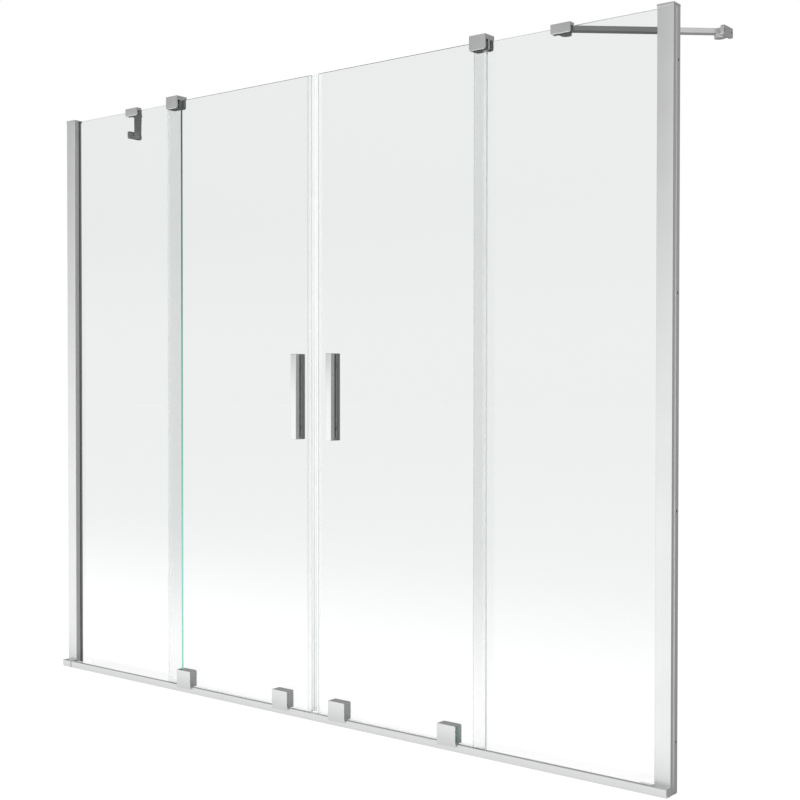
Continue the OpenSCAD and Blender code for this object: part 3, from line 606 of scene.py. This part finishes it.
# Normals of the faces without their signs, then middles of the faces
def faceNormals(mesh):
    normals = np.zeros(len(mesh.polygons) * 3, np.float32)
    mesh.polygons.foreach_get("normal", normals)
    return np.abs(normals.reshape(-1, 3))


def faceMiddles(mesh):
    middles = np.zeros(len(mesh.polygons) * 3, np.float32)
    mesh.polygons.foreach_get("center", middles)
    return middles.reshape(-1, 3)


# Arris of the panes in millimetres, its steps, and how far a face turns from the big ones to count as edge
paneShape = {"arris": 1.2, "steps": 2, "turned": 0.3}


# Panes: big faces of clear glass, then upright edges, level edges in near-black painted shade, and the
# upright edges that look outwards
def makePanes():
    for stem, edge in (("fixed_pane", "openEdge"), ("door_pane", "sealedEdge")):
        for side, way in sides.items():
            node = f"{stem}_{side}"
            arris = paneShape["arris"] * mm
            pane = roundedCopy(node, node + ".polished", "clearGlass", arris, paneShape["steps"])
            for name in (edge, "rimEdgeShade", "outerEdge"):
                pane.data.materials.append(materials[name])
            turned = faceNormals(pane.data) > paneShape["turned"]
            upright, level = turned[:, 0], turned[:, 2]
            low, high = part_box(node)
            outwards = way * (faceMiddles(pane.data)[:, 0] - (low.x + high.x) / 2) > 0
            index = np.select([level, upright & outwards, upright], [2, 3, 1], 0)
            pane.data.polygons.foreach_set("material_index", index.astype(np.int32))
            pane.visible_shadow = False


# Millimetres: width of the band, how far it stands proud of the two parts, how near the end of the cap a
# corner counts as its outline, and the lowest place of the band above the rim of the bath
railSeamShade = {"width": 2.4, "proud": 0.08, "near": 0.05, "lowest": 0.05}


# Painted shade of the groove at the joint between the rail and its left end cap: a thin dark band round the
# outline that the two parts share
def makeRailSeamShade():
    node = "rail_end_cap_left"
    mesh = frame["nodes"][node].data
    corners = np.zeros(len(mesh.vertices) * 3, np.float32)
    mesh.vertices.foreach_get("co", corners)
    corners = corners.reshape(-1, 3)
    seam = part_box("bottom_rail")[0].x
    atEnd = np.abs(corners[:, 0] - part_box(node)[0].x) < railSeamShade["near"] * mm
    outline = np.unique(np.round(corners[atEnd, 1:], 6), axis=0)
    middle = outline.mean(0)
    turn = np.argsort(np.arctan2(outline[:, 1] - middle[1], outline[:, 0] - middle[0]))
    away = outline[turn] - middle
    outline = middle + away * (1 + railSeamShade["proud"] * mm / np.linalg.norm(away, axis=1, keepdims=True))
    outline[:, 1] = np.maximum(outline[:, 1], railSeamShade["lowest"] * mm)
    half = railSeamShade["width"] / 2 * mm
    band = carriedShape(outline, "X", seam - half, seam + half)
    # The band is dark rubber that stands for the groove's shade
    addPiece("rail_seam_shade_left.drawn", *band, "darkRubber", node)


makeRoundedParts()
makePanes()
makeRailSeamShade()
print("frame parts and panes finished")


# Handles

# Millimetres: radius of the long edges, and the smaller one of both ends
handleShape = {"corner": 1.8, "end": 1.2}


# Each handle bar fills the box of its node
def makeHandles():
    for node in [f"{place}_handle_{side}" for place in ("outer", "inner") for side in sides]:
        low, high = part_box(node)
        points, faces = softBar(high.x - low.x, high.y - low.y, high.z - low.z, handleShape["corner"] * mm,
                                handleShape["end"] * mm)
        middle = np.array([(low.x + high.x) / 2, (low.y + high.y) / 2, low.z])
        addPiece(node + ".bar", points + middle, faces, "barMetal", node)


makeHandles()
print("handles made")


# Seals

# Millimetres, apart from the steps of the curves and the share of its thickness that a lip keeps at its tip
sealShape = {"wall": 0.8, "lipSteps": 12, "lipTip": 0.5, "lipClear": 0.1, "finSweep": 2.4, "magnetGap": 0.1,
             "nose": 1.6, "noseSteps": 7, "neck": 1.2, "web": 1.2, "wiperSweep": 1.0, "wiperLean": 0.4,
             "corner": 0.6}


# Ends of a node along X, the inner one first, as if it stood on the right
def endsOutwards(stem, side):
    low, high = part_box(f"{stem}_{side}")
    return (low.x, high.x) if side == "right" else (-high.x, -low.x)


# Meeting seal: a rounded nose round the magnet, open to the slot that grips the glass, and two thin legs
def meetingOutline(side):
    low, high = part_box("meeting_seal_" + side)
    magnetLow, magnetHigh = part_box("magnet_strip_" + side)
    nose, tip = endsOutwards("meeting_seal", side)
    glassEdge = endsOutwards("door_pane", side)[0]
    magnetNear, magnetFar = endsOutwards("magnet_strip", side)
    y0, y1 = low.y, high.y
    wall, gap, soft, neck = [sealShape[name] * mm for name in ("wall", "magnetGap", "nose", "neck")]
    angle = np.linspace(0, math.pi / 2, sealShape["noseSteps"])
    lowerNose = np.column_stack([nose + soft - soft * np.sin(angle), y0 + soft - soft * np.cos(angle)])
    upperNose = np.column_stack([nose + soft - soft * np.cos(angle), y1 - soft + soft * np.sin(angle)])
    centre = (y0 + y1) / 2
    outline = np.concatenate([
        [[tip, y0]], lowerNose, upperNose, [[tip, y1]], [[tip, y1 - wall]], [[glassEdge, y1 - wall]],
        [[glassEdge, centre + neck]],
        [[magnetFar + gap, centre + neck]], [[magnetFar + gap, magnetHigh.y + gap]],
        [[magnetNear - gap, magnetHigh.y + gap]], [[magnetNear - gap, magnetLow.y - gap]],
        [[magnetFar + gap, magnetLow.y - gap]], [[magnetFar + gap, centre - neck]],
        [[glassEdge, centre - neck]], [[glassEdge, y0 + wall]], [[tip, y0 + wall]]])
    return outline * np.array([sides[side], 1])


# Edge seal: a channel on the edge of the glass and a fin that sweeps back towards the fixed pane
def edgeOutline(side):
    low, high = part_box("edge_seal_" + side)
    glassLow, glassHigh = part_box("door_pane_" + side)
    inner, outer = endsOutwards("edge_seal", side)
    glassEdge = endsOutwards("door_pane", side)[1]
    wall = sealShape["wall"] * mm
    y0, y1, tip = low.y, glassHigh.y + wall, high.y
    t = np.linspace(0, 1, sealShape["lipSteps"])
    line = np.column_stack([outer - wall / 2 - sealShape["finSweep"] * mm * t ** 2,
                            y1 + (tip - y1 - sealShape["lipClear"] * mm) * t])
    outerFlank, innerFlank = lipFlanks(line, wall, sealShape["lipTip"])
    if outerFlank[0, 0] < innerFlank[0, 0]:
        outerFlank, innerFlank = innerFlank, outerFlank
    outline = np.concatenate([
        [[inner, y0]], [[outer - wall, y0]], [[outer, y0 + wall]], outerFlank, innerFlank[::-1],
        [[inner, y1]], [[inner, glassHigh.y]],
        [[glassEdge, glassHigh.y]], [[glassEdge, glassLow.y]], [[inner, glassLow.y]]])
    return outline * np.array([sides[side], 1])


# Bottom seal: a channel under the glass and two curved wipers that reach down to the rail
def bottomOutline(side):
    low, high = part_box("bottom_seal_" + side)
    glassLow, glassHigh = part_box("door_pane_" + side)
    wall, corner = sealShape["wall"] * mm, sealShape["corner"] * mm
    sweep, lean = sealShape["wiperSweep"] * mm, sealShape["wiperLean"] * mm
    web = glassLow.z - sealShape["web"] * mm
    t = np.linspace(0, 1, sealShape["lipSteps"])
    drop = web - low.z - sealShape["lipClear"] * mm
    front = np.column_stack([glassLow.y + wall / 2 - sweep * t ** 2 + lean * t, web - drop * t])
    back = np.column_stack([glassHigh.y - wall / 2 + sweep * t ** 2 - lean * t, web - drop * t])
    frontOne, frontTwo = lipFlanks(front, wall, sealShape["lipTip"])
    backOne, backTwo = lipFlanks(back, wall, sealShape["lipTip"])
    if frontOne[0, 0] > frontTwo[0, 0]:
        frontOne, frontTwo = frontTwo, frontOne
    if backOne[0, 0] > backTwo[0, 0]:
        backOne, backTwo = backTwo, backOne
    return np.concatenate([
        [[low.y, high.z]], [[low.y, web + corner]], [[low.y + corner, web]], frontOne, frontTwo[::-1],
        backOne, backTwo[::-1], [[high.y - corner, web]], [[high.y, web + corner]], [[high.y, high.z]],
        [[glassHigh.y, high.z]], [[glassHigh.y, glassLow.z]], [[glassLow.y, glassLow.z]],
        [[glassLow.y, high.z]]])


# Longest side that counts as the end of a leg in millimetres, and least turn at its corners in degrees
legEnd = {"length": 1.0, "turn": 40}


# Which sides of an outline are the square ends of thin legs: short, with a sharp corner at both ends
def legEnds(outline):
    run = np.roll(outline, -1, axis=0) - outline
    length = np.linalg.norm(run, axis=1)
    way = run / length[:, None]
    sharpAfter = (way * np.roll(way, -1, axis=0)).sum(axis=1) < math.cos(math.radians(legEnd["turn"]))
    return (length < legEnd["length"] * mm) & sharpAfter & np.roll(sharpAfter, 1)


# Outline, the axis that it is carried along, and material of each kind
sealKinds = {"meeting_seal": (meetingOutline, "Z", "clearSeal"), "edge_seal": (edgeOutline, "Z", "faintSeal"),
             "bottom_seal": (bottomOutline, "X", "clearSeal")}


# Each seal is its outline, carried along the length of its node's box
def makeSeals():
    for side in sides:
        for stem, (outlineOf, axis, materialName) in sealKinds.items():
            node = f"{stem}_{side}"
            low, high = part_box(node)
            start, end = (low.z, high.z) if axis == "Z" else (low.x, high.x)
            outline = outlineOf(side)
            seal = addPiece(node + ".drawn", *carriedShape(outline, axis, start, end), materialName, node)
            # The ends of the meeting seal's legs get the near-black painted shade
            if stem == "meeting_seal":
                seal.data.materials.append(materials["sealEdgeShade"])
                narrow = np.concatenate([legEnds(outline), [False, False]])  # the two caps come last
                seal.data.polygons.foreach_set("material_index", narrow.astype(np.int32))
            seal.visible_shadow = False


makeSeals()
print("seals made")


# Screws, pins and studs

# Boxes of the separate solids of a node, each from the corners that hang together, sorted by place
def solidBoxes(node):
    work = bmesh.new()
    work.from_mesh(frame["nodes"][node].data)
    bmesh.ops.remove_doubles(work, verts=work.verts, dist=meshRules["doubles"])
    left, boxes = set(work.verts), []
    while left:
        stack, found = [left.pop()], []
        while stack:
            vert = stack.pop()
            found.append(vert.co.copy())
            for edge in vert.link_edges:
                other = edge.other_vert(vert)
                if other in left:
                    left.remove(other)
                    stack.append(other)
        corners = np.array(found)
        boxes.append((corners.min(0), corners.max(0)))
    work.free()
    return sorted(boxes, key=lambda box: tuple(box[0]))


# The way that the heads look, then in millimetres: radius of the shaft, radius and height of the head, and
# radius of the socket. Where a node has studs too, they are its solids that are no wider than slender.
screwShapes = {
    "guide_screws": {"axis": (0, 1, 0), "screw": (2.5, 2.5, 0.6, 1.25)},
    "clamp_screws": {"axis": (0, 1, 0), "screw": (2.5, 2.5, 0.6, 1.25)},
    "profile_screws": {"axis": (0, 1, 0), "screw": (2.0, 4.0, 2.0, 1.25)},
    "clamp_pins": {"axis": (0, 0, 1), "screw": (4.0, 7.0, 2.0, 2.0)},
    "flange_pin": {"axis": (0, 0, 1), "screw": (4.0, 7.0, 2.0, 2.0)},
    "door_screws": {"axis": (0, 1, 0), "screw": (2.4, 4.2, 1.5, 1.5), "studs": (3.0, 3.0, 0.5, 1.2),
                    "slender": 8.0},
    "roller_axles": {"axis": (0, -1, 0), "screw": (2.5, 4.4, 1.2, 1.5)},
}


# Screws and pins of one node, each in the place of its CAD solid
def makeScrews(node, look):
    axis = look["axis"]
    way = int(np.argmax(np.abs(axis)))
    sign = axis[way]
    shapes = []
    for low, high in solidBoxes(node):
        slender = "studs" in look and high[2] - low[2] <= look["slender"] * mm
        radius, headRadius, headHeight, socket = [size * mm for size in look["studs" if slender else "screw"]]
        middle = (low + high) / 2
        length = high[way] - low[way] - headHeight
        middle[way] = (high[way] if sign > 0 else low[way]) - sign * headHeight
        shapes.append(placeShape(socketScrew(radius, length, headRadius, headHeight, socket), middle, axis))
    points, faces = joinShapes(shapes)
    addPiece(node + ".turned", points, faces, "turnedSteel", node)


# Nodes that serve both sides first, then those of each side
def makeFasteners():
    shared = [stem for stem in screwShapes if stem in frame["nodes"]]
    for stem in shared:
        makeScrews(stem, screwShapes[stem])
    for side in sides:
        for stem in screwShapes:
            if stem not in shared:
                makeScrews(f"{stem}_{side}", screwShapes[stem])


makeFasteners()
print("screws and pins made")


# Rollers

# Radii of tread, flange, hub and bore, then depths along the axis and small offsets, all in millimetres, and
# steps of the crown, of the flange and round the axis
rollerShape = {"tread": 12.0, "flange": 14.2, "hub": 4.6, "bore": 2.55, "groove": 0.6, "front": 0.8,
               "flangeDepth": 2.0, "hubBack": 0.4, "crown": 0.15, "shoulder": 0.5, "bevel": 0.3, "draft": 0.2,
               "rim": 2.2, "rimFoot": 2.6, "crownSteps": 7, "flangeSteps": 9, "turnSteps": 72}


# Roller turned about Y: hub, hollowed web, crowned tread and round flange, as one closed outline
def rollerOutline(depth):
    r = rollerShape
    front, groove, draft, bevel = r["front"], r["groove"], r["draft"], r["bevel"]
    rim, rimFoot, hub = r["tread"] - r["rim"], r["tread"] - r["rimFoot"], r["hub"]
    treadStart, back = front + r["shoulder"], depth - r["hubBack"]
    treadEnd = back - r["flangeDepth"]
    crown = [(r["tread"] - r["crown"] * abs(2 * t - 1) ** 2, treadStart + (treadEnd - treadStart) * t)
             for t in np.linspace(0, 1, r["crownSteps"])]
    half = r["flangeDepth"] / 2
    flange = [(r["flange"] - half + half * math.sin(a), treadEnd + half - half * math.cos(a))
              for a in np.linspace(0, math.pi, r["flangeSteps"])]
    return np.array([
        (r["bore"], 0.0), (hub - bevel, 0.0), (hub, bevel), (hub + draft, front + groove),
        (rimFoot, front + groove), (rim, front), (r["tread"] - r["shoulder"], front)] + crown + flange + [
        (rim, back), (rimFoot, back - groove), (hub + draft, back - groove), (hub, depth - draft),
        (hub - bevel, depth), (r["bore"], depth)]) * mm


# Each roller stands on the front face of its node's box
def makeRollers():
    for node in [f"{place}_roller_{side}" for place in ("inner", "outer") for side in sides]:
        low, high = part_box(node)
        roller = turnedShape(rollerOutline((high.y - low.y) / mm), rollerShape["turnSteps"])
        middle = ((low.x + high.x) / 2, low.y, (low.z + high.z) / 2)
        addPiece(node + ".turned", *placeShape(roller, middle, (0, 1, 0)), "whiteNylon", node)


makeRollers()
print("rollers made")


# Stage, light and camera

# Strengths: light on matt faces, then what mirrors see in front, overhead, to the rear, behind glass and on
# the floor, with painted shade on the floor near the object and under it
studio = {"ambient": 0.62, "front": 1.03, "ceiling": 0.45, "rear": 0.30, "lean": 0.34, "behindGlass": 0.31,
          "glowWay": (0.45, -0.50, 0.74), "glow": 0.8, "floorTone": 0.80, "seenTone": 0.25, "near": 0.73,
          "under": 0.27}
# Where they fade: Z, Y and nearness to the glow as parts of a direction, then Y on the floor in metres, over
# which the painted shade near and under the object sets in
fades = {"lean": (0.0, 0.16), "overhead": (0.0, 0.36), "rearward": (-0.45, 0.45), "glow": (0.84, 1.0),
         "near": (-0.26, -0.04), "under": (-0.022, 0.0)}
floorSize = 60


# Three masks of a ray: mirrored by metal or glass, scattered by a matt surface, and mirrored behind the glass
def rayHistory(nodes, links, path):
    mirrored = addValue(nodes, links, "GREATER_THAN", path.outputs["Glossy Depth"], 0.5)
    scattered = addValue(nodes, links, "GREATER_THAN", path.outputs["Diffuse Depth"], 0.5)
    # A ray that leaves through the glass crosses two faces more than one that was mirrored last
    leaving = addValue(nodes, links, "MULTIPLY", path.outputs["Is Transmission Ray"], 2.0)
    needed = addValue(nodes, links, "ADD", leaving, 0.5)
    behind = addValue(nodes, links, "GREATER_THAN", path.outputs["Transmission Depth"], needed)
    return mirrored, scattered, behind


# World: white behind the object for camera and glass rays; mirrors see it fade overhead and to the rear
def makeWorld():
    world = bpy.data.worlds.new("studio")
    bpy.context.scene.world = world
    world.use_nodes = True
    nodes, links = world.node_tree.nodes, world.node_tree.links
    nodes.clear()
    path = nodes.new("ShaderNodeLightPath")
    place = nodes.new("ShaderNodeTexCoord")
    split = nodes.new("ShaderNodeSeparateXYZ")
    links.new(place.outputs["Generated"], split.inputs["Vector"])
    leftward = addValue(nodes, links, "MINIMUM", split.outputs["X"], 0.0)
    lean = softStep(nodes, links, split.outputs["Z"], *fades["lean"], 0.0, studio["lean"])
    leaned = addValue(nodes, links, "MULTIPLY", leftward, lean)
    leaning = addValue(nodes, links, "SUBTRACT", split.outputs["Z"], leaned)
    upward = softStep(nodes, links, leaning, *fades["overhead"], studio["front"], studio["ceiling"])
    rearward = softStep(nodes, links, split.outputs["Y"], *fades["rearward"], 0.0, 1.0)
    mirror = nodes.new("ShaderNodeMix")
    links.new(rearward, mirror.inputs["Factor"])
    links.new(upward, mirror.inputs["A"])
    mirror.inputs["B"].default_value = studio["rear"]
    facing = nodes.new("ShaderNodeVectorMath")
    facing.operation = "DOT_PRODUCT"
    links.new(place.outputs["Generated"], facing.inputs[0])
    facing.inputs[1].default_value = studio["glowWay"]
    glow = softStep(nodes, links, facing.outputs["Value"], *fades["glow"], 0.0, studio["glow"])
    graded = addValue(nodes, links, "ADD", mirror.outputs["Result"], glow)
    mirrored, scattered, behind = rayHistory(nodes, links, path)
    shade = softStep(nodes, links, behind, 0.0, 1.0, 1.0, studio["behindGlass"])
    seen = nodes.new("ShaderNodeMix")
    links.new(mirrored, seen.inputs["Factor"])
    seen.inputs["A"].default_value = 1.0
    links.new(addValue(nodes, links, "MULTIPLY", graded, shade), seen.inputs["B"])
    level = nodes.new("ShaderNodeMix")
    links.new(scattered, level.inputs["Factor"])
    links.new(seen.outputs["Result"], level.inputs["A"])
    level.inputs["B"].default_value = studio["ambient"]
    background = nodes.new("ShaderNodeBackground")
    background.inputs["Color"].default_value = (1, 1, 1, 1)
    output = nodes.new("ShaderNodeOutputWorld")
    links.new(level.outputs["Result"], background.inputs["Strength"])
    links.new(background.outputs["Background"], output.inputs["Surface"])


# Floor: pale and lit, lifted to white for the camera, so that only the object's shadow shows on it; what
# mirrors see of it is a glow with painted shade near and under the object
def makeFloor():
    bpy.ops.mesh.primitive_grid_add(x_subdivisions=2, y_subdivisions=2, size=floorSize)
    floor = bpy.context.object
    floor.name = "floor"
    material = bpy.data.materials.new("paleFloor")
    material.use_nodes = True
    nodes, links = material.node_tree.nodes, material.node_tree.links
    nodes.clear()
    path = nodes.new("ShaderNodeLightPath")
    place = nodes.new("ShaderNodeTexCoord")
    split = nodes.new("ShaderNodeSeparateXYZ")
    links.new(place.outputs["Object"], split.inputs["Vector"])
    mirrored, scattered, behind = rayHistory(nodes, links, path)
    tone = softStep(nodes, links, scattered, 0.0, 1.0, studio["seenTone"], studio["floorTone"])
    lift = softStep(nodes, links, scattered, 0.0, 1.0, 1 - studio["ambient"] * studio["seenTone"], 0.0)
    diffuse = nodes.new("ShaderNodeBsdfDiffuse")
    links.new(tone, diffuse.inputs["Color"])
    glow = nodes.new("ShaderNodeEmission")
    links.new(lift, glow.inputs["Strength"])
    lit = nodes.new("ShaderNodeAddShader")
    links.new(diffuse.outputs["BSDF"], lit.inputs[0])
    links.new(glow.outputs["Emission"], lit.inputs[1])
    graded = nodes.new("ShaderNodeEmission")
    shade = softStep(nodes, links, behind, 0.0, 1.0, 1.0, studio["behindGlass"])
    # Painted shade: mirrors see the floor darker near the object and darker still under it
    near = softStep(nodes, links, split.outputs["Y"], *fades["near"], studio["front"], studio["near"])
    under = softStep(nodes, links, split.outputs["Y"], *fades["under"], 1.0, studio["under"] / studio["near"])
    level = addValue(nodes, links, "MULTIPLY", near, under)
    links.new(addValue(nodes, links, "MULTIPLY", level, shade), graded.inputs["Strength"])
    mix = nodes.new("ShaderNodeMixShader")
    both = addValue(nodes, links, "MULTIPLY", mirrored, scattered)
    links.new(addValue(nodes, links, "SUBTRACT", mirrored, both), mix.inputs["Fac"])
    links.new(lit.outputs["Shader"], mix.inputs[1])
    links.new(graded.outputs["Emission"], mix.inputs[2])
    output = nodes.new("ShaderNodeOutputMaterial")
    links.new(mix.outputs["Shader"], output.inputs["Surface"])
    floor.data.materials.append(material)


# Place and aim in metres, side of the square in metres, power in watts
lamps = {
    "keyLamp": {"place": (3.2, -3.6, 3.4), "aim": (0.1, 0.0, 0.7), "size": 2.6, "power": 150},
    "fillLamp": {"place": (-3.4, -2.6, 2.2), "aim": (0.0, 0.0, 0.7), "size": 2.4, "power": 60},
}


def makeLamps():
    for name, lamp in lamps.items():
        light = bpy.data.lights.new(name, "AREA")
        light.size = lamp["size"]
        light.energy = lamp["power"]
        holder = bpy.data.objects.new(name, light)
        bpy.context.scene.collection.objects.link(holder)
        place = np.array(lamp["place"], float)
        aim = np.array(lamp["aim"], float) - place
        yaw = math.atan2(aim[1], aim[0]) - math.pi / 2
        tilt = math.atan2(aim[2], math.hypot(aim[0], aim[1])) + math.pi / 2
        holder.location = place
        holder.rotation_euler = (tilt, 0, yaw)
        holder.visible_glossy = False  # the world's own soft glow is what metal and glass mirror
        holder.visible_transmission = False


# Fitted to the photo: place in metres, degrees from straight down and about Z, lens and sensor in millimetres
cameraView = {"place": (1.96562, -2.27565, 0.79096), "tilt": 89.038, "turn": 39.353, "lens": 58.23,
              "sensor": 36, "shift": (0.0675, 0.0011), "farthest": 200}


def makeCamera():
    data = bpy.data.cameras.new("camera")
    data.sensor_width = cameraView["sensor"]
    data.lens = cameraView["lens"]
    data.shift_x, data.shift_y = cameraView["shift"]
    data.clip_end = cameraView["farthest"]
    camera = bpy.data.objects.new("camera", data)
    bpy.context.scene.collection.objects.link(camera)
    camera.location = cameraView["place"]
    camera.rotation_euler = (math.radians(cameraView["tilt"]), 0, math.radians(cameraView["turn"]))
    bpy.context.scene.camera = camera


makeWorld()
makeFloor()
makeLamps()
makeCamera()
bpy.context.scene.view_settings.view_transform = "Standard"
print("stage, light and camera set")
